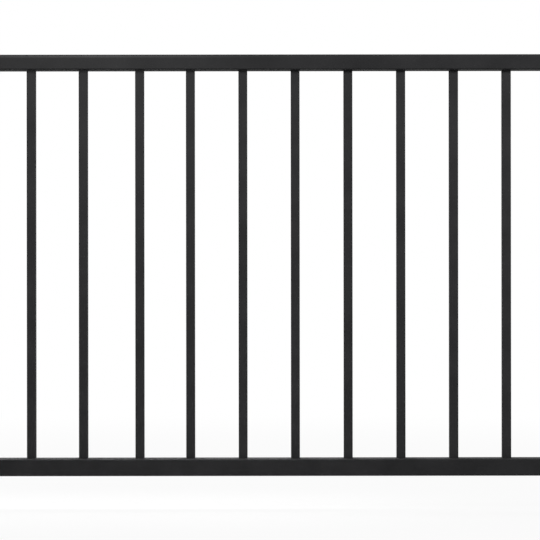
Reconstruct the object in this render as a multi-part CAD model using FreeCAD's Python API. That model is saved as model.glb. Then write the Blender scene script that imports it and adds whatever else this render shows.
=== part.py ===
import FreeCAD, Part
import os

# Deck railing section in powder-coated steel, one bay between two posts.
# Two punched tube rails, square tube balusters that pass through the punched holes,
# and a cast flanged socket on each rail end, which screws to the post.
# Millimetres, +Z up, +X along the rails, and the front faces -Y.
# The origin lies on the left post's face, at the middle of the lower left bracket.

# Section
SECTION_LENGTH = 1828.8  # post face to post face, 6 ft
PANEL_HEIGHT = 910.0  # underside of the bottom rail to the top of the top rail

# Rails
RAIL_DEPTH = 44.45  # front to back, 1 3/4 in
TOP_RAIL_HEIGHT = 33.0
BOTTOM_RAIL_HEIGHT = 36.5
RAIL_WALL = 1.6
RAIL_EDGE_RADIUS = 3.0  # outside corners, apart from the hand edge
HAND_EDGE_RADIUS = 8.0  # upper corners of the top rail, where a hand rests
RAIL_END_GAP = 1.0  # from a rail's end to the flange in front of it

# Balusters
BALUSTER_WIDTH = 19.05  # 3/4 in square
BALUSTER_WALL = 1.2
BALUSTER_EDGE_RADIUS = 2.0
BALUSTER_PITCH = 114.3  # 4 1/2 in between centres
BALUSTER_INSERTION = 12.0  # length of each end inside its rail
PUNCH_CLEARANCE = 0.3  # around a baluster in its punched hole
END_ROOM = 10.0  # least room between a bracket and the first baluster
BALUSTER_DRIFT = {5: -1.7, 6: 6.1, 7: 1.7, 8: 1.0}  # balusters welded off their marks, by number

# Brackets
FLANGE_THICKNESS = 4.0
FLANGE_BORDER = 3.0  # flange above and below its socket
FLANGE_EAR = 16.0  # flange in front of and behind its socket
FLANGE_CORNER_RADIUS = 9.0
FLANGE_EDGE_BREAK = 1.0  # bevel round the flange's outer edge
SOCKET_LENGTH = 30.0  # post face to the socket's mouth
SOCKET_WALL = 2.5
SOCKET_EDGE_BREAK = 0.8  # bevel round the socket's mouth
SOCKET_CLEARANCE = 0.4  # beside and above the rail, which rests on the socket's floor
CASTING_COVE = 1.5  # sloped cove between a socket and its flange
SCREW_HOLE_RADIUS = 2.75
SCREW_HEAD_RADIUS = 5.0  # countersink at the flange's face
SCREW_SEAT_DEPTH = 2.25
SET_SCREW_RADIUS = 2.1  # hole through the socket's floor

# Least inside corner that a rail is drawn with
RAIL_INSIDE_RADIUS = 0.2

# Levels
BOTTOM_RAIL_LOW = -(BOTTOM_RAIL_HEIGHT + SOCKET_CLEARANCE) / 2
BOTTOM_RAIL_HIGH = BOTTOM_RAIL_LOW + BOTTOM_RAIL_HEIGHT
TOP_RAIL_HIGH = BOTTOM_RAIL_LOW + PANEL_HEIGHT
TOP_RAIL_LOW = TOP_RAIL_HIGH - TOP_RAIL_HEIGHT

ALONG = FreeCAD.Vector(1, 0, 0)
UP = FreeCAD.Vector(0, 0, 1)


def rounded_outline(place, half_width, low, high, low_radius, high_radius):
    """Closed wire of a rectangle with rounded corners, in the plane that place(u, v) gives."""
    slant = 1 - 0.5**0.5
    corners = (
        (-half_width, low, 1, 1, low_radius),
        (half_width, low, -1, 1, low_radius),
        (half_width, high, -1, -1, high_radius),
        (-half_width, high, 1, -1, high_radius),
    )
    arcs = []
    for u, v, inward_u, inward_v, radius in corners:
        beside = place(u + inward_u * radius, v)
        middle = place(u + inward_u * radius * slant, v + inward_v * radius * slant)
        upright = place(u, v + inward_v * radius)
        # Going round, the first and third corner start on their upright side
        ends = (upright, beside) if inward_u == inward_v else (beside, upright)
        arcs.append(Part.Arc(ends[0], middle, ends[1]))
    edges = []
    for index, arc in enumerate(arcs):
        following = arcs[(index + 1) % len(arcs)]
        edges.append(arc.toShape())
        edges.append(Part.LineSegment(arc.EndPoint, following.StartPoint).toShape())
    return Part.Wire(edges)


def bar_along(start, end, half_width, low, high, low_radius, high_radius):
    """Solid bar from x = start to x = end with a rounded section across Y and Z."""
    outline = rounded_outline(
        lambda u, v: FreeCAD.Vector(start, u, v), half_width, low, high, low_radius, high_radius
    )
    return Part.Face(outline).extrude(ALONG * (end - start))


def bar_upright(centre_x, low, high, half_width, radius):
    """Solid square bar from z = low to z = high, centred on the panel's mid plane."""
    outline = rounded_outline(
        lambda u, v: FreeCAD.Vector(centre_x + u, v, low), half_width, -half_width, half_width, radius, radius
    )
    return Part.Face(outline).extrude(UP * (high - low))


def inside_radius(outside_radius, wall):
    """Corner radius on the inside of a tube wall."""
    return max(outside_radius - wall, RAIL_INSIDE_RADIUS)


def baluster_places():
    """Distance of every baluster from the left post, in order."""
    first_centre = SOCKET_LENGTH + END_ROOM + BALUSTER_WIDTH / 2
    count = int((SECTION_LENGTH - 2 * first_centre) / BALUSTER_PITCH) + 1
    start = (SECTION_LENGTH - (count - 1) * BALUSTER_PITCH) / 2
    return [start + index * BALUSTER_PITCH + BALUSTER_DRIFT.get(index + 1, 0) for index in range(count)]


def rail(low, high, high_radius, punched_level):
    """Tube rail with one square hole a baluster in the wall at punched_level."""
    start = FLANGE_THICKNESS + RAIL_END_GAP
    end = SECTION_LENGTH - start
    outer = bar_along(start, end, RAIL_DEPTH / 2, low, high, RAIL_EDGE_RADIUS, high_radius)
    hollow = bar_along(
        start,
        end,
        RAIL_DEPTH / 2 - RAIL_WALL,
        low + RAIL_WALL,
        high - RAIL_WALL,
        inside_radius(RAIL_EDGE_RADIUS, RAIL_WALL),
        inside_radius(high_radius, RAIL_WALL),
    )
    hole = BALUSTER_WIDTH + 2 * PUNCH_CLEARANCE
    reach = 2 * RAIL_WALL
    punches = [
        Part.makeBox(
            hole, hole, 2 * reach, FreeCAD.Vector(centre_x - hole / 2, -hole / 2, punched_level - reach)
        )
        for centre_x in baluster_places()
    ]
    return outer.cut(hollow).cut(punches)


def baluster(centre_x):
    """Square tube that reaches into both rails, with a plain square bore."""
    low = BOTTOM_RAIL_HIGH - BALUSTER_INSERTION
    high = TOP_RAIL_LOW + BALUSTER_INSERTION
    outer = bar_upright(centre_x, low, high, BALUSTER_WIDTH / 2, BALUSTER_EDGE_RADIUS)
    bore = BALUSTER_WIDTH - 2 * BALUSTER_WALL
    corner = FreeCAD.Vector(centre_x - bore / 2, -bore / 2, low)
    return outer.cut(Part.makeBox(bore, bore, high - low, corner))


def edges_at(shape, x, half_width):
    """Edges of shape that lie in the plane at x and stay within half_width of the mid plane."""
    tolerance = 1e-4
    found = []
    for edge in shape.Edges:
        box = edge.BoundBox
        in_plane = abs(box.XMin - x) < tolerance and abs(box.XMax - x) < tolerance
        if in_plane and max(-box.YMin, box.YMax) < half_width + tolerance:
            found.append(edge)
    return found


def countersunk_hole(centre_y):
    """Tool that cuts one post screw's hole, with its head's seat at the flange's face."""
    centre = FreeCAD.Vector(0, centre_y, 0)
    shank = Part.makeCylinder(SCREW_HOLE_RADIUS, FLANGE_THICKNESS, centre, ALONG)
    seat_start = centre + ALONG * (FLANGE_THICKNESS - SCREW_SEAT_DEPTH)
    seat = Part.makeCone(SCREW_HOLE_RADIUS, SCREW_HEAD_RADIUS, SCREW_SEAT_DEPTH, seat_start, ALONG)
    return shank.fuse(seat)


def left_bracket(low, high, high_radius):
    """Flanged socket for a rail between z = low and z = high, on the left post."""
    pocket_half = RAIL_DEPTH / 2 + SOCKET_CLEARANCE
    pocket_high = high + SOCKET_CLEARANCE
    pocket_radius = high_radius + SOCKET_CLEARANCE
    socket_half = pocket_half + SOCKET_WALL
    socket_low = low - SOCKET_WALL
    socket_high = pocket_high + SOCKET_WALL
    flange_half = socket_half + FLANGE_EAR
    flange_low = socket_low - FLANGE_BORDER
    flange_high = socket_high + FLANGE_BORDER

    flange = bar_along(
        0,
        FLANGE_THICKNESS,
        flange_half,
        flange_low,
        flange_high,
        FLANGE_CORNER_RADIUS,
        FLANGE_CORNER_RADIUS,
    )
    flange = flange.makeChamfer(FLANGE_EDGE_BREAK, edges_at(flange, FLANGE_THICKNESS, flange_half))
    socket = bar_along(
        0,
        SOCKET_LENGTH,
        socket_half,
        socket_low,
        socket_high,
        RAIL_EDGE_RADIUS + SOCKET_WALL,
        pocket_radius + SOCKET_WALL,
    )
    casting = flange.fuse(socket).removeSplitter()
    cove = min(CASTING_COVE, 0.9 * (FLANGE_BORDER - FLANGE_EDGE_BREAK))
    casting = casting.makeChamfer(cove, edges_at(casting, FLANGE_THICKNESS, socket_half))
    casting = casting.makeChamfer(SOCKET_EDGE_BREAK, edges_at(casting, SOCKET_LENGTH, socket_half))

    pocket = bar_along(
        FLANGE_THICKNESS,
        SOCKET_LENGTH,
        pocket_half,
        low,
        pocket_high,
        RAIL_EDGE_RADIUS,
        pocket_radius,
    )
    middle = UP * ((flange_low + flange_high) / 2)
    screw_offset = socket_half + FLANGE_EAR / 2
    screws = [countersunk_hole(side * screw_offset).translated(middle) for side in (-1, 1)]
    set_screw_start = FreeCAD.Vector((FLANGE_THICKNESS + SOCKET_LENGTH) / 2, 0, socket_low)
    set_screw = Part.makeCylinder(SET_SCREW_RADIUS, SOCKET_WALL, set_screw_start, UP)
    return casting.cut([pocket, set_screw] + screws)


def turned_to_right(shape):
    """The same casting turned half round, for the right post."""
    return shape.rotated(ALONG * (SECTION_LENGTH / 2), UP, 180)


def save(name, shape):
    """Write one piece to its own file."""
    shape.exportStep(os.path.join("parts", name + ".step"))


os.makedirs("parts", exist_ok=True)

save("top_rail", rail(TOP_RAIL_LOW, TOP_RAIL_HIGH, HAND_EDGE_RADIUS, TOP_RAIL_LOW))
save("bottom_rail", rail(BOTTOM_RAIL_LOW, BOTTOM_RAIL_HIGH, RAIL_EDGE_RADIUS, BOTTOM_RAIL_HIGH))

for number, place_x in enumerate(baluster_places(), start=1):
    save(f"baluster_{number:02d}", baluster(place_x))

top_bracket = left_bracket(TOP_RAIL_LOW, TOP_RAIL_HIGH, HAND_EDGE_RADIUS)
bottom_bracket = left_bracket(BOTTOM_RAIL_LOW, BOTTOM_RAIL_HIGH, RAIL_EDGE_RADIUS)
save("top_left_bracket", top_bracket)
save("top_right_bracket", turned_to_right(top_bracket))
save("bottom_left_bracket", bottom_bracket)
save("bottom_right_bracket", turned_to_right(bottom_bracket))
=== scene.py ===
"""Looks of a welded steel deck railing section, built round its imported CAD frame.

The rails, balusters and brackets are the CAD nodes themselves, and get their powder coat here.
The weld beads at the baluster ends and the set screws under the sockets are added here.
Lengths are metres unless a name ends in _mm.
"""

from __future__ import annotations

import logging
import math
from collections.abc import Mapping, Sequence
from dataclasses import dataclass
from enum import Enum
from functools import cache
from typing import Any

import bpy
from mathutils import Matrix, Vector

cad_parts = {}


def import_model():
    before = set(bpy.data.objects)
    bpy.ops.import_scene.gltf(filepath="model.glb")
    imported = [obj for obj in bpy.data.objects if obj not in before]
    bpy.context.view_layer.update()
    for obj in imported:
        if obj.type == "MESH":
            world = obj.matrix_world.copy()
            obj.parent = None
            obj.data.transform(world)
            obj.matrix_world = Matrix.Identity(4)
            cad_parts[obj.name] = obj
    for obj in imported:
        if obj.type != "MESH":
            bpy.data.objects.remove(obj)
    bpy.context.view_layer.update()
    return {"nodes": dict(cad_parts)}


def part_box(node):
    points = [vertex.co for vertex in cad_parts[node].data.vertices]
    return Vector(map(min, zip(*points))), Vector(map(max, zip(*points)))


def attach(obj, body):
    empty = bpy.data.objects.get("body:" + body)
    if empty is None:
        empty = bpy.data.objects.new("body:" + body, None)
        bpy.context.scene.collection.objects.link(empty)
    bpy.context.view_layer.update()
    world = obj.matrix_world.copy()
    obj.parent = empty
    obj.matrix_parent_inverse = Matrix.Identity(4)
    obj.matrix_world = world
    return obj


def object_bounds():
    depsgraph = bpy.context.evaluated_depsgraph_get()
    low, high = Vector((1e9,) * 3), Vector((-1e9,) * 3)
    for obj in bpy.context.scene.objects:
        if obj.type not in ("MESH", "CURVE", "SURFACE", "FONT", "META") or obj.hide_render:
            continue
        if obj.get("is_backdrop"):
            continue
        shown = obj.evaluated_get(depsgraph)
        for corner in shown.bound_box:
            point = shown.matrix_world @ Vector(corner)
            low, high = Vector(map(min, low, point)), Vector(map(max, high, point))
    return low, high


LOG = logging.getLogger("railing")
MM = 0.001
BODY = "root"
SHARP_EDGE = math.radians(40)
NOISE_MEAN = 0.5

NodeInputs = Mapping[str | int, Any]


class Slot(Enum):
    """Material slots of the record that the added pieces take."""

    RAIL = "rail_coat"
    BRACKET = "bracket_coat"


class Level(Enum):
    """The two rails, by node."""

    TOP = "top_rail"
    BOTTOM = "bottom_rail"


class Light(Enum):
    """What a lamp adds to a surface."""

    FULL = "colour and gloss"
    COLOUR = "colour alone"
    GLOSS = "gloss alone"


def linear(hex_colour: str) -> tuple[float, float, float, float]:
    """Turn an sRGB hex colour into linear RGBA.

    Args:
        hex_colour: Colour such as "#2b2b2c".

    Returns:
        Linear red, green and blue, and an alpha of 1.
    """
    channels = [int(hex_colour[place : place + 2], 16) / 255 for place in (1, 3, 5)]
    red, green, blue = (c / 12.92 if c <= 0.04045 else ((c + 0.055) / 1.055) ** 2.4 for c in channels)
    return red, green, blue, 1.0


def per_metre(size_mm: float) -> float:
    """Texture scale whose features are about size_mm across."""
    return 1 / (size_mm * MM)


def add_node(
    tree: bpy.types.NodeTree, kind: str, inputs: NodeInputs | None = None, **settings: Any
) -> bpy.types.Node:
    """Add one node, set its options, and fill or link its inputs.

    Args:
        tree: Tree that the node joins.
        kind: Node type, as bpy names it.
        inputs: By input name or number, a value, a socket to link from, or a list of such sockets.
        **settings: Options of the node itself.

    Returns:
        The new node.
    """
    node = tree.nodes.new(kind)
    for option, value in settings.items():
        setattr(node, option, value)
    for key, value in (inputs or {}).items():
        for source in value if isinstance(value, list) else [value]:
            if isinstance(source, bpy.types.NodeSocket):
                tree.links.new(source, node.inputs[key])
            else:
                node.inputs[key].default_value = source
    return node


def empty_material(name: str) -> tuple[bpy.types.Material, bpy.types.NodeTree]:
    """Make a node material with nothing in its tree.

    Args:
        name: Real material and finish.

    Returns:
        The material and its tree.
    """
    material = bpy.data.materials.new(name)
    material.use_nodes = True
    material.node_tree.nodes.clear()
    return material, material.node_tree


@dataclass(frozen=True)
class PowderCoat:
    """Polyester powder coat, sprayed on bare steel and baked.

    It levels out as it melts, which leaves a faint orange-peel ripple, a fine sandy grain, and a
    satin black that is a touch greyer where the film is thin. Film and thin_film are the two ends of
    the colour, and thin_from and thin_to are the sums of cloud and grain at which it reaches them.
    """

    name: str
    film: str = "#272728"
    thin_film: str = "#333334"
    thin_from: float = 0.65
    thin_to: float = 1.35
    ior: float = 1.5
    reflectance: float = 0.03
    roughness: float = 0.66
    roughness_spread: float = 0.08
    cloud_mm: float = 70.0
    cloud_octaves: float = 3.0
    peel_mm: float = 3.2
    peel_octaves: float = 1.0
    peel_height_mm: float = 0.04
    # The real grain, about 0.4 mm, is too fine to show, so it is drawn coarser
    grain_mm: float = 1.4
    grain_octaves: float = 2.0
    grain_height_mm: float = 0.04

    @cache
    def material(self) -> bpy.types.Material:
        """Build the coat's node material, once for all the pieces that wear it.

        Returns:
            The finished material.
        """
        material, tree = empty_material(self.name)
        place = add_node(tree, "ShaderNodeTexCoord").outputs["Object"]
        cloud, peel, grain = (
            add_node(
                tree,
                "ShaderNodeTexNoise",
                {"Vector": place, "Scale": per_metre(size_mm), "Detail": octaves},
            ).outputs[0]
            for size_mm, octaves in (
                (self.cloud_mm, self.cloud_octaves),
                (self.peel_mm, self.peel_octaves),
                (self.grain_mm, self.grain_octaves),
            )
        )
        both = add_node(tree, "ShaderNodeMath", {0: cloud, 1: grain}, operation="ADD")
        thinness = add_node(
            tree,
            "ShaderNodeMapRange",
            {"Value": both.outputs[0], "From Min": self.thin_from, "From Max": self.thin_to},
        )
        # A mix of colours takes them at inputs 6 and 7, and gives its result at output 2
        colour = add_node(
            tree,
            "ShaderNodeMix",
            {0: thinness.outputs[0], 6: linear(self.film), 7: linear(self.thin_film)},
            data_type="RGBA",
        )
        roughness = add_node(
            tree,
            "ShaderNodeMapRange",
            {
                "Value": peel,
                "To Min": self.roughness - self.roughness_spread / 2,
                "To Max": self.roughness + self.roughness_spread / 2,
            },
        )
        ripple = add_node(tree, "ShaderNodeBump", {"Height": peel, "Distance": self.peel_height_mm * MM})
        sand = add_node(
            tree,
            "ShaderNodeBump",
            {"Height": grain, "Distance": self.grain_height_mm * MM, "Normal": ripple.outputs[0]},
        )
        shader = add_node(
            tree,
            "ShaderNodeBsdfPrincipled",
            {
                "Base Color": colour.outputs[2],
                "Roughness": roughness.outputs[0],
                "Normal": sand.outputs[0],
                "IOR": self.ior,
                "Specular IOR Level": self.reflectance,
            },
        )
        add_node(tree, "ShaderNodeOutputMaterial", {"Surface": shader.outputs[0]})
        return material


@dataclass(frozen=True)
class BlackOxideSteel:
    """Hardened steel blackened in a hot bath: dark, oily and half polished, with fine turning marks."""

    name: str
    oxide: str = "#2c2d30"
    roughness: float = 0.36
    turning_mm: float = 0.35
    turning_height_mm: float = 0.01

    @cache
    def material(self) -> bpy.types.Material:
        """Build the screws' node material.

        Returns:
            The finished material.
        """
        material, tree = empty_material(self.name)
        place = add_node(tree, "ShaderNodeTexCoord").outputs["Object"]
        marks = add_node(
            tree, "ShaderNodeTexNoise", {"Vector": place, "Scale": per_metre(self.turning_mm), "Detail": 1.0}
        )
        bump = add_node(
            tree, "ShaderNodeBump", {"Height": marks.outputs[0], "Distance": self.turning_height_mm * MM}
        )
        shader = add_node(
            tree,
            "ShaderNodeBsdfPrincipled",
            {
                "Base Color": linear(self.oxide),
                "Metallic": 1.0,
                "Roughness": self.roughness,
                "Normal": bump.outputs[0],
            },
        )
        add_node(tree, "ShaderNodeOutputMaterial", {"Surface": shader.outputs[0]})
        return material


@dataclass(frozen=True)
class TreeInput:
    """One named size of a Geometry Nodes tree."""

    name: str
    value: Any
    kind: str = "NodeSocketFloat"


class RepeatTree:
    """A Geometry Nodes tree that puts one shape at each point of a mesh."""

    def __init__(self, name: str, sizes: Sequence[TreeInput]) -> None:
        """Make the tree with its named inputs.

        Args:
            name: Name of the tree and its piece.
            sizes: Named inputs, beside the points.
        """
        self.name = name
        self.tree = bpy.data.node_groups.new(name, "GeometryNodeTree")
        sockets = self.tree.interface
        sockets.new_socket("Points", in_out="INPUT", socket_type="NodeSocketGeometry")
        self.values: dict[str, Any] = {}
        for size in sizes:
            socket = sockets.new_socket(size.name, in_out="INPUT", socket_type=size.kind)
            self.values[socket.identifier] = size.value
        sockets.new_socket("Pieces", in_out="OUTPUT", socket_type="NodeSocketGeometry")
        self.entry = self.add("NodeGroupInput").outputs

    def add(self, kind: str, inputs: NodeInputs | None = None, **settings: Any) -> bpy.types.Node:
        """Add one node to the tree, as add_node does."""
        return add_node(self.tree, kind, inputs, **settings)

    def math(self, operation: str, *values: Any) -> bpy.types.NodeSocket:
        """Add one sum of up to three values, and give its result."""
        return self.add("ShaderNodeMath", dict(enumerate(values)), operation=operation).outputs[0]

    def push_out(self, shape: bpy.types.NodeSocket, distance: bpy.types.NodeSocket) -> bpy.types.NodeSocket:
        """Move each point of a shape along its normal.

        Args:
            shape: Geometry to change.
            distance: How far each point goes.

        Returns:
            The changed geometry.
        """
        normal = self.add("GeometryNodeInputNormal").outputs[0]
        push = self.add("ShaderNodeVectorMath", {0: normal, "Scale": distance}, operation="SCALE")
        return self.add("GeometryNodeSetPosition", {0: shape, "Offset": push.outputs[0]}).outputs[0]

    def copies(self, shape: bpy.types.NodeSocket) -> bpy.types.NodeSocket:
        """Put a shape on every point.

        Args:
            shape: Geometry of one copy, round its own origin.

        Returns:
            All the copies as plain geometry.
        """
        placed = self.add(
            "GeometryNodeInstanceOnPoints", {"Points": self.entry["Points"], "Instance": shape}
        )
        return self.add("GeometryNodeRealizeInstances", {0: placed.outputs[0]}).outputs[0]

    def close(self, pieces: bpy.types.NodeSocket) -> None:
        """End the tree with soft shading between the sharp edges, and the material.

        Args:
            pieces: Realized geometry.
        """
        smooth = self.add("GeometryNodeSetShadeSmooth", {0: pieces})
        bend = self.add("GeometryNodeInputMeshEdgeAngle").outputs["Unsigned Angle"]
        creased = self.add(
            "GeometryNodeSetShadeSmooth",
            {
                0: smooth.outputs[0],
                "Selection": self.math("GREATER_THAN", bend, SHARP_EDGE),
                "Shade Smooth": False,
            },
            domain="EDGE",
        )
        dressed = self.add(
            "GeometryNodeSetMaterial", {0: creased.outputs[0], "Material": self.entry["Material"]}
        )
        self.add("NodeGroupOutput", {0: dressed.outputs[0]})

    def piece(self, points: Sequence[Vector]) -> bpy.types.Object:
        """Run the tree on some points and keep the result as a plain mesh.

        Args:
            points: Places of the copies, in the row frame.

        Returns:
            An object at the origin that holds every copy.
        """
        seeds = bpy.data.meshes.new(self.name + "_points")
        seeds.from_pydata([tuple(point) for point in points], [], [])
        piece = bpy.data.objects.new(self.name, seeds)
        modifier = piece.modifiers.new(self.name, "NODES")
        modifier.node_group = self.tree
        for identifier, value in self.values.items():
            modifier[identifier] = value
        bpy.context.scene.collection.objects.link(piece)
        grown = piece.evaluated_get(bpy.context.evaluated_depsgraph_get())
        mesh = bpy.data.meshes.new_from_object(grown)
        piece.modifiers.remove(modifier)
        piece.data = mesh
        bpy.data.meshes.remove(seeds)
        mesh.name = self.name
        return piece


def keep(piece: bpy.types.Object, slot: Slot) -> None:
    """Let a new piece ride on the railing and say which finish it takes.

    Args:
        piece: Finished mesh object.
        slot: Slot of the record that its finish belongs to.
    """
    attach(piece, BODY)
    LOG.info("%s: %d faces, slot %s", piece.name, len(piece.data.polygons), slot.value)


def middle(low: Vector, high: Vector) -> Vector:
    """Centre of a box."""
    return (low + high) / 2


@dataclass
class Panel:
    """The CAD nodes: two rails, the balusters between them, and a socket bracket on each rail end."""

    nodes: Mapping[str, bpy.types.Object]
    rail_finish: PowderCoat = PowderCoat("black_powder_coat_on_rails")
    # The balusters wear the rails' coat set a few levels lighter, so that they render a little lighter than
    # the rails
    baluster_finish: PowderCoat = PowderCoat(
        "black_powder_coat_on_balusters", film="#2b2b2c", thin_film="#373738"
    )
    bracket_finish: PowderCoat = PowderCoat(
        "black_powder_coat_on_castings", grain_mm=2.0, grain_height_mm=0.08
    )

    def balusters(self) -> list[str]:
        """Names of the balusters, from the left."""
        return sorted(name for name in self.nodes if name.startswith("baluster"))

    def brackets(self) -> list[str]:
        """Names of the socket brackets."""
        return sorted(name for name in self.nodes if name.endswith("bracket"))

    def dress(self) -> None:
        """Give every node its coat."""
        groups = (
            ([level.value for level in Level], self.rail_finish),
            (self.balusters(), self.baluster_finish),
            (self.brackets(), self.bracket_finish),
        )
        for names, finish in groups:
            material = finish.material()
            for name in names:
                for slot in self.nodes[name].material_slots:
                    slot.material = material
                LOG.info("%s: coated with %s", name, material.name)


@dataclass
class WeldBeads:
    """A fillet of weld round each baluster where it enters a rail, coated with the rest.

    The section is a pie slice whose point, the root, lies inside both walls. The face has the
    overlapping crescents that the pool of metal leaves as it moves on.
    """

    panel: Panel
    level: Level
    leg: float
    root_depth: float = 0.4 * MM
    corner_radius: float = 2.0 * MM
    bulge: float = 0.8
    ripples: int = 30
    ripple_share: float = 0.09
    crescent: float = 0.9
    lump: float = 0.5 * MM
    lump_size_mm: float = 9.0
    steps_a_ripple: int = 6
    steps_across: int = 9
    finish: PowderCoat = PowderCoat("black_powder_coat_on_welds", grain_mm=1.0)

    def places(self) -> list[Vector]:
        """Centre of each bead's root, just inside the rail face that the balusters enter.

        Returns:
            One point for each baluster.
        """
        low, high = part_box(self.level.value)
        height = low.z + self.root_depth if self.level is Level.TOP else high.z - self.root_depth
        centres = [middle(*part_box(name)) for name in self.panel.balusters()]
        return [Vector((centre.x, centre.y, height)) for centre in centres]

    def width(self) -> float:
        """Side of the square that a bead's root runs round."""
        low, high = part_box(self.panel.balusters()[0])
        return high.y - low.y - 2 * self.root_depth

    def lean(self) -> float:
        """Turn of the section that points it away from the rail: up from below, down from above."""
        return math.pi / 4 if self.level is Level.TOP else -math.pi / 4

    def sizes(self) -> tuple[TreeInput, ...]:
        """List the named inputs of the beads' tree.

        Returns:
            The sizes, and the finish.
        """
        return (
            TreeInput("Square", self.width()),
            TreeInput("Corner Radius", self.corner_radius - self.root_depth),
            TreeInput("Section Radius", self.leg + self.root_depth),
            TreeInput("Ripples", self.ripples, "NodeSocketInt"),
            TreeInput("Ripple Height", self.leg * self.ripple_share),
            TreeInput("Lump", self.lump),
            TreeInput("Material", self.finish.material(), "NodeSocketMaterial"),
        )

    def run(self, made: RepeatTree) -> tuple[bpy.types.NodeSocket, bpy.types.NodeSocket]:
        """Sweep a smooth bead round one baluster.

        Args:
            made: Tree of the beads.

        Returns:
            The bead, and the ripples passed at each of its points.
        """
        size = made.entry
        square = made.add(
            "GeometryNodeCurvePrimitiveQuadrilateral", {"Width": size["Square"], "Height": size["Square"]}
        )
        rounded = made.add(
            "GeometryNodeFilletCurve",
            {"Curve": square.outputs[0], "Radius": size["Corner Radius"], "Count": self.steps_a_ripple},
            mode="POLY",
        )
        steps = made.math("MULTIPLY", size["Ripples"], float(self.steps_a_ripple))
        path = made.add("GeometryNodeResampleCurve", {"Curve": rounded.outputs[0], "Count": steps})
        share = made.add("GeometryNodeSplineParameter").outputs["Factor"]
        marked = made.add("GeometryNodeCaptureAttribute", {"Geometry": path.outputs[0]}, domain="POINT")
        marked.capture_items.new("FLOAT", "Passed")
        made.tree.links.new(made.math("MULTIPLY", share, size["Ripples"]), marked.inputs["Passed"])
        slice_of_pie = made.add(
            "GeometryNodeCurveArc",
            {
                "Resolution": self.steps_across,
                "Radius": size["Section Radius"],
                "Start Angle": -math.pi / 4,
                "Sweep Angle": math.pi / 2,
                "Connect Center": True,
            },
            mode="RADIUS",
        )
        section = made.add(
            "GeometryNodeTransform",
            {
                "Geometry": slice_of_pie.outputs[0],
                "Rotation": (0.0, 0.0, self.lean()),
                "Scale": (self.bulge, 1.0, 1.0),
            },
        )
        bead = made.add(
            "GeometryNodeCurveToMesh",
            {"Curve": marked.outputs["Geometry"], "Profile Curve": section.outputs[0]},
        )
        return bead.outputs[0], marked.outputs["Passed"]

    def crescents(self, made: RepeatTree, passed: bpy.types.NodeSocket) -> bpy.types.NodeSocket:
        """Height of the ripples, which lag behind at both toes of the bead.

        Args:
            made: Tree of the beads.
            passed: Ripples passed at each point.

        Returns:
            Distance that each point stands out.
        """
        normal = made.add("GeometryNodeInputNormal").outputs[0]
        rise = made.add("ShaderNodeSeparateXYZ", {0: normal}).outputs["Z"]
        slope = made.math("ARCSINE", made.math("ABSOLUTE", rise))
        from_crest = made.math("SUBTRACT", slope, math.pi / 4)
        lag = made.math("MULTIPLY", made.math("POWER", from_crest, 2.0), self.crescent)
        turn = made.math("MULTIPLY", made.math("ADD", passed, lag), math.pi)
        hump = made.math("ABSOLUTE", made.math("SINE", turn))
        return made.math("MULTIPLY", hump, made.entry["Ripple Height"])

    def build(self) -> bpy.types.Object:
        """Run a rippled bead round every baluster end.

        Returns:
            One mesh of all the beads.
        """
        made = RepeatTree(f"{self.level.value}_weld_beads", self.sizes())
        bead, passed = self.run(made)
        rippled = made.push_out(bead, self.crescents(made, passed))
        noise = made.add("ShaderNodeTexNoise", {"Scale": per_metre(self.lump_size_mm), "Detail": 1.0})
        swell = made.math("MULTIPLY", made.math("SUBTRACT", noise.outputs[0], NOISE_MEAN), made.entry["Lump"])
        made.close(made.push_out(made.copies(rippled), swell))
        return made.piece(self.places())

    def dress(self) -> None:
        """Build the beads and keep them on the railing."""
        keep(self.build(), Slot.RAIL)


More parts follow.
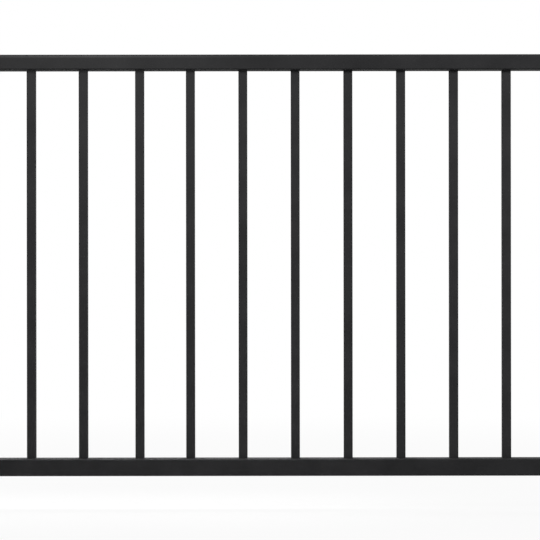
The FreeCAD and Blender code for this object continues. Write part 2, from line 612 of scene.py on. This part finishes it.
@dataclass
class SetScrews:
    """A hexagon-socket set screw up through each bracket's floor, which grips the rail."""

    panel: Panel
    radius: float = 2.0 * MM
    length: float = 3.4 * MM
    rim_bevel: float = 0.35 * MM
    key_radius: float = 1.15 * MM
    key_depth: float = 1.8 * MM
    key_sides: int = 6
    flange_thickness: float = 4.0 * MM
    flange_border: float = 3.0 * MM
    proud: float = 0.8 * MM
    sides: int = 32
    finish: BlackOxideSteel = BlackOxideSteel("black_oxide_set_screw_steel")

    def places(self) -> list[Vector]:
        """Middle of each screw's outer end, just below its socket's floor.

        Returns:
            One point for each bracket.
        """
        found = []
        section = middle(*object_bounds()).x
        for name in self.panel.brackets():
            low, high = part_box(name)
            inward = self.flange_thickness / 2 * (1 if high.x < section else -1)
            level = low.z + self.flange_border - self.proud
            found.append(Vector((middle(low, high).x + inward, 0, level)))
        return found

    def sizes(self) -> tuple[TreeInput, ...]:
        """List the named inputs of the screws' tree.

        Returns:
            The sizes, and the finish.
        """
        return (
            TreeInput("Radius", self.radius),
            TreeInput("Length", self.length),
            TreeInput("Rim Radius", self.radius - self.rim_bevel),
            TreeInput("Key Radius", self.key_radius),
            TreeInput("Key Depth", self.key_depth),
            TreeInput("Material", self.finish.material(), "NodeSocketMaterial"),
        )

    def build(self) -> bpy.types.Object:
        """Turn one screw for each bracket, with a bevelled rim and a hexagon for the key.

        Returns:
            One mesh of all the screws.
        """
        made = RepeatTree("set_screws", self.sizes())
        size = made.entry
        twice_length = made.math("MULTIPLY", size["Length"], 2.0)
        rod = made.add(
            "GeometryNodeMeshCylinder",
            {"Vertices": self.sides, "Radius": size["Radius"], "Depth": twice_length},
        )
        bevel = made.add(
            "GeometryNodeMeshCone",
            {
                "Vertices": self.sides,
                "Radius Bottom": size["Rim Radius"],
                "Radius Top": made.math("ADD", size["Rim Radius"], twice_length),
                "Depth": twice_length,
            },
        )
        blank = made.add(
            "GeometryNodeMeshBoolean", {"Mesh 2": [rod.outputs[0], bevel.outputs[0]]}, operation="INTERSECT"
        )
        key = made.add(
            "GeometryNodeMeshCylinder",
            {
                "Vertices": self.key_sides,
                "Radius": size["Key Radius"],
                "Depth": made.math("MULTIPLY", size["Key Depth"], 2.0),
            },
        )
        drilled = made.add(
            "GeometryNodeMeshBoolean",
            {"Mesh 1": blank.outputs[0], "Mesh 2": key.outputs[0]},
            operation="DIFFERENCE",
        )
        made.close(made.copies(drilled.outputs[0]))
        return made.piece(self.places())

    def dress(self) -> None:
        """Build the screws and keep them on the railing."""
        keep(self.build(), Slot.BRACKET)


@dataclass(frozen=True)
class Softbox:
    """A rectangular studio lamp that faces a point.

    One that gives gloss alone draws a highlight along an edge, with no shadow. One that gives colour
    alone lights the far sides, and leaves no glancing shine on their edges. A grid narrows the beam.
    """

    name: str
    place: tuple[float, float, float]
    faces: tuple[float, float, float]
    width: float
    height: float
    watts: float
    beam_deg: float = 180.0
    gives: Light = Light.FULL

    def build(self) -> None:
        """Hang the lamp and turn it to its point."""
        lamp = bpy.data.lights.new(self.name, "AREA")
        lamp.shape = "RECTANGLE"
        lamp.size = self.width
        lamp.size_y = self.height
        lamp.energy = self.watts
        lamp.spread = math.radians(self.beam_deg)
        holder = bpy.data.objects.new(self.name, lamp)
        holder.location = self.place
        aim = Vector(self.faces) - Vector(self.place)
        holder.rotation_euler = aim.to_track_quat("-Z", "Y").to_euler()
        holder.visible_camera = False
        lamp.use_shadow = self.gives is not Light.GLOSS
        holder.visible_diffuse = self.gives is not Light.GLOSS
        holder.visible_glossy = self.gives is not Light.COLOUR
        bpy.context.scene.collection.objects.link(holder)


@dataclass
class Studio:
    """White floor and surroundings, and soft lamps in front, above and behind."""

    deck_gap: float = 75 * MM
    floor_side: float = 80.0
    floor_colour: str = "#a8a8a8"
    backdrop_colour: str = "#ffffff"
    shadow_share: float = 0.07
    shadow_reach: tuple[float, float] = (1.3, 3.0)
    ambient: float = 0.32
    lamps: Sequence[Softbox] = (
        Softbox(
            "front_softbox",
            place=(1.5, -1.6, 1.7),
            faces=(1.2, 0.0, 0.6),
            width=1.8,
            height=0.6,
            watts=30.5,
        ),
        Softbox(
            "catch_light",
            place=(0.42, -0.8, 1.9),
            faces=(0.5, 0.0, 0.89),
            width=0.25,
            height=0.1,
            watts=10.0,
            beam_deg=40.0,
            gives=Light.GLOSS,
        ),
        Softbox(
            "bottom_rail_softbox",
            place=(0.5, 0.12, 0.7),
            faces=(0.5, 0.03, 0.0),
            width=1.3,
            height=0.1,
            watts=3.8,
            beam_deg=60.0,
            gives=Light.COLOUR,
        ),
        Softbox(
            "left_back_softbox",
            place=(-1.2, 1.7, 2.0),
            faces=(0.5, 0.0, 0.45),
            width=1.2,
            height=0.8,
            watts=60.0,
            gives=Light.COLOUR,
        ),
        Softbox(
            "right_back_softbox",
            place=(3.0, 1.7, 2.0),
            faces=(1.3, 0.0, 0.45),
            width=1.2,
            height=0.8,
            watts=42.0,
            gives=Light.COLOUR,
        ),
    )

    def seen_directly(self, tree: bpy.types.NodeTree) -> bpy.types.NodeSocket:
        """Tell rays from the camera or a mirror from rays that carry light.

        Args:
            tree: Tree of a material or of the world.

        Returns:
            1 on the rays that see, and 0 on the rest.
        """
        rays = add_node(tree, "ShaderNodeLightPath").outputs
        seen = rays["Is Camera Ray"]
        for kind in ("Is Glossy Ray", "Is Transmission Ray"):
            seen = add_node(tree, "ShaderNodeMath", {0: seen, 1: rays[kind]}, operation="MAXIMUM").outputs[0]
        return seen

    def build_floor(self) -> None:
        """Lay the floor below the bottom rail, as far down as a deck would be.

        Its paint takes the railing's shadow, and gives way to the plain white of the surroundings
        further off, so that no horizon shows.
        """
        material, tree = empty_material("white_floor")
        paint = add_node(tree, "ShaderNodeBsdfDiffuse", {"Color": linear(self.floor_colour)})
        glow = add_node(tree, "ShaderNodeEmission", {"Color": linear(self.backdrop_colour), "Strength": 1.0})
        place = add_node(tree, "ShaderNodeTexCoord").outputs["Object"]
        centre = middle(*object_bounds())
        away = add_node(tree, "ShaderNodeVectorMath", {0: place, 1: centre}, operation="DISTANCE")
        white = add_node(
            tree,
            "ShaderNodeMapRange",
            {
                "Value": away.outputs["Value"],
                "From Min": self.shadow_reach[0],
                "From Max": self.shadow_reach[1],
                "To Min": 1 - self.shadow_share,
            },
            interpolation_type="SMOOTHSTEP",
        )
        share = add_node(
            tree, "ShaderNodeMath", {0: self.seen_directly(tree), 1: white.outputs[0]}, operation="MULTIPLY"
        )
        both = add_node(
            tree, "ShaderNodeMixShader", {0: share.outputs[0], 1: paint.outputs[0], 2: glow.outputs[0]}
        )
        add_node(tree, "ShaderNodeOutputMaterial", {"Surface": both.outputs[0]})
        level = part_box(Level.BOTTOM.value)[0].z - self.deck_gap
        reach = self.floor_side / 2
        corners = [(x * reach, y * reach, level) for x, y in ((-1, -1), (1, -1), (1, 1), (-1, 1))]
        mesh = bpy.data.meshes.new("floor")
        mesh.from_pydata(corners, [], [(0, 1, 2, 3)])
        mesh.materials.append(material)
        floor = bpy.data.objects.new("floor", mesh)
        bpy.context.scene.collection.objects.link(floor)
        floor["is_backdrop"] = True

    def build_surroundings(self) -> None:
        """Make the world white to the eye, and a soft even light on the railing."""
        world = bpy.data.worlds.new("white_studio")
        world.use_nodes = True
        tree = world.node_tree
        tree.nodes.clear()
        seen = self.seen_directly(tree)
        level = add_node(tree, "ShaderNodeMapRange", {"Value": seen, "To Min": self.ambient, "To Max": 1.0})
        light = add_node(
            tree,
            "ShaderNodeBackground",
            {"Color": linear(self.backdrop_colour), "Strength": level.outputs[0]},
        )
        add_node(tree, "ShaderNodeOutputWorld", {"Surface": light.outputs[0]})
        bpy.context.scene.world = world

    def build(self) -> None:
        """Set up floor, world and lamps."""
        self.build_floor()
        self.build_surroundings()
        for lamp in self.lamps:
            lamp.build()
        bpy.context.scene.view_settings.view_transform = "Standard"


@dataclass
class PhotoCamera:
    """Camera straight in front of the panel, framed as the photograph is."""

    distance: float = 4.2
    sensor_mm: float = 36.0
    frame_px: float = 540.0
    panel_top_px: float = 54.05
    panel_bottom_px: float = 476.1
    panel_middle_px: float = 268.9
    roll_deg: float = 0.06

    def build(self) -> None:
        """Set the camera where the panel falls on its photographed pixels."""
        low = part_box(Level.BOTTOM.value)[0]
        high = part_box(Level.TOP.value)[1]
        pixel = (high.z - low.z) / (self.panel_bottom_px - self.panel_top_px)
        half_frame = self.frame_px / 2
        data = bpy.data.cameras.new("photo_camera")
        data.sensor_width = self.sensor_mm
        data.lens = self.sensor_mm * self.distance / (self.frame_px * pixel)
        camera = bpy.data.objects.new("photo_camera", data)
        camera.location = (
            middle(low, high).x + (half_frame - self.panel_middle_px) * pixel,
            low.y - self.distance,
            high.z - (half_frame - self.panel_top_px) * pixel,
        )
        camera.rotation_euler = (math.pi / 2, math.radians(self.roll_deg), 0)
        bpy.context.scene.collection.objects.link(camera)
        bpy.context.scene.camera = camera
        LOG.info("camera: lens %.1f mm at %.2f m", data.lens, self.distance)


def main() -> None:
    """Build the looks round the frame, piece by piece."""
    logging.basicConfig(level=logging.INFO, format="%(name)s %(message)s")
    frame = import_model()
    panel = Panel(frame["nodes"])
    panel.dress()
    WeldBeads(panel, Level.TOP, leg=0.9 * MM).dress()
    WeldBeads(panel, Level.BOTTOM, leg=1.2 * MM).dress()
    SetScrews(panel).dress()
    Studio().build()
    PhotoCamera().build()


if __name__ == "__main__":
    main()
